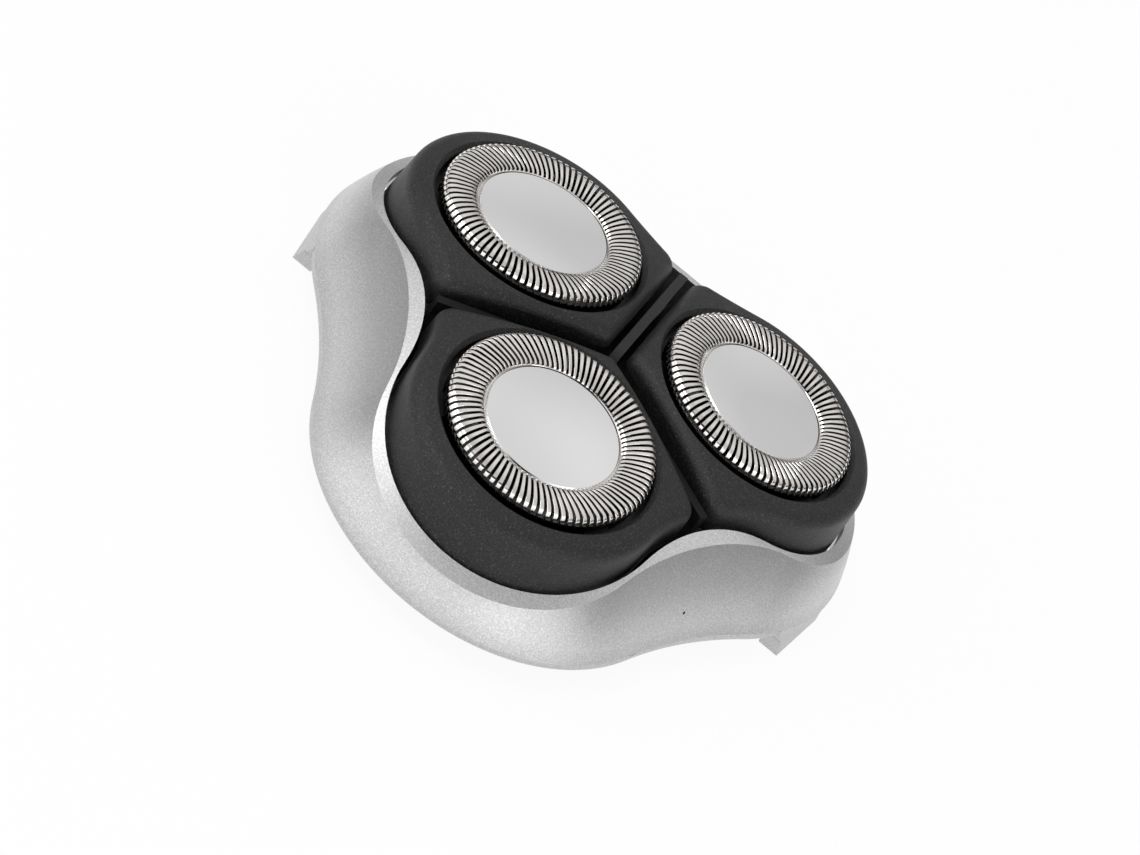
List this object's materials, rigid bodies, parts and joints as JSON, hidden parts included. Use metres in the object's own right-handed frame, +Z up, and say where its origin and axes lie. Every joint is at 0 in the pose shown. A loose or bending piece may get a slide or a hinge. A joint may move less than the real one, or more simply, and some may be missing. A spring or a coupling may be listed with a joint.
{
  "type": "rotary shaver head",
  "caption": "Rotary shaver head: silver rounded-triangle frame with floating black pods, slotted steel guards round polished discs, and cutters driven from below.",
  "frame": {"origin": "on the head axis in the plane of the leg ends, at the mouth of the handle socket", "axes": "+Z up along the head axis through the guards, -Y towards the front lobe, +X to the right leg"},
  "size_m": [0.0658, 0.0622, 0.0174],
  "materials": {
    "silver_paint": "satin metallic silver paint on moulded plastic",
    "black_satin": "glossy black moulding",
    "black_soft": "matt black with a fine grain",
    "guard_steel": "bright steel with slots",
    "disc_steel": "polished steel",
    "cutter_steel": "ground steel",
    "coupling_plastic": "plain white moulding",
    "retainer_plastic": "plain dark moulding",
    "spring_steel": "spring steel strip",
    "screw_steel": "plated steel"
  },
  "bodies": {
    "head": {"head_frame": "silver_paint", "carrier": "black_satin", "carrier_screws": "screw_steel", "pod_springs_front": "spring_steel", "pod_springs_right": "spring_steel", "pod_springs_left": "spring_steel"},
    "pod_front_body": {"pod_front": "black_soft", "retainer_ring_front": "retainer_plastic"},
    "guard_front_body": {"guard_front": "guard_steel", "trim_disc_front": "disc_steel"},
    "cutter_front_body": {"cutter_front": "cutter_steel", "drive_coupling_front": "coupling_plastic"},
    "pod_right_body": {"pod_right": "black_soft", "retainer_ring_right": "retainer_plastic"},
    "guard_right_body": {"guard_right": "guard_steel", "trim_disc_right": "disc_steel"},
    "cutter_right_body": {"cutter_right": "cutter_steel", "drive_coupling_right": "coupling_plastic"},
    "pod_left_body": {"pod_left": "black_soft", "retainer_ring_left": "retainer_plastic"},
    "guard_left_body": {"guard_left": "guard_steel", "trim_disc_left": "disc_steel"},
    "cutter_left_body": {"cutter_left": "cutter_steel", "drive_coupling_left": "coupling_plastic"}
  },
  "joints": [
    {"name": "pod_tilt_front", "type": "hinge", "parent": "head", "child": "pod_front_body", "pos_m": [0, -0.01577, 0.00823], "axis": [1, 0, 0], "range_deg": [-4, 4], "stiffness_Nm_per_rad": 0.02, "deforming": ["pod_springs_front"]},
    {"name": "guard_float_front", "type": "slide", "parent": "pod_front_body", "child": "guard_front_body", "axis": [0, -0.0802, 0.9968], "range_m": [-0.001, 0]},
    {"name": "cutter_spin_front", "type": "hinge", "parent": "guard_front_body", "child": "cutter_front_body", "pos_m": [0, -0.01624, 0.01401], "axis": [0, -0.0802, 0.9968], "continuous": true},
    {"name": "pod_tilt_right", "type": "hinge", "parent": "head", "child": "pod_right_body", "pos_m": [0.01366, 0.00789, 0.00823], "axis": [-0.5, 0.866, 0], "range_deg": [-4, 4], "stiffness_Nm_per_rad": 0.02, "deforming": ["pod_springs_right"]},
    {"name": "guard_float_right", "type": "slide", "parent": "pod_right_body", "child": "guard_right_body", "axis": [0.0695, 0.0401, 0.9968], "range_m": [-0.001, 0]},
    {"name": "cutter_spin_right", "type": "hinge", "parent": "guard_right_body", "child": "cutter_right_body", "pos_m": [0.01406, 0.00812, 0.01401], "axis": [0.0695, 0.0401, 0.9968], "continuous": true},
    {"name": "pod_tilt_left", "type": "hinge", "parent": "head", "child": "pod_left_body", "pos_m": [-0.01366, 0.00789, 0.00823], "axis": [-0.5, -0.866, 0], "range_deg": [-4, 4], "stiffness_Nm_per_rad": 0.02, "deforming": ["pod_springs_left"]},
    {"name": "guard_float_left", "type": "slide", "parent": "pod_left_body", "child": "guard_left_body", "axis": [-0.0695, 0.0401, 0.9968], "range_m": [-0.001, 0]},
    {"name": "cutter_spin_left", "type": "hinge", "parent": "guard_left_body", "child": "cutter_left_body", "pos_m": [-0.01406, 0.00812, 0.01401], "axis": [-0.0695, 0.0401, 0.9968], "continuous": true}
  ]
}
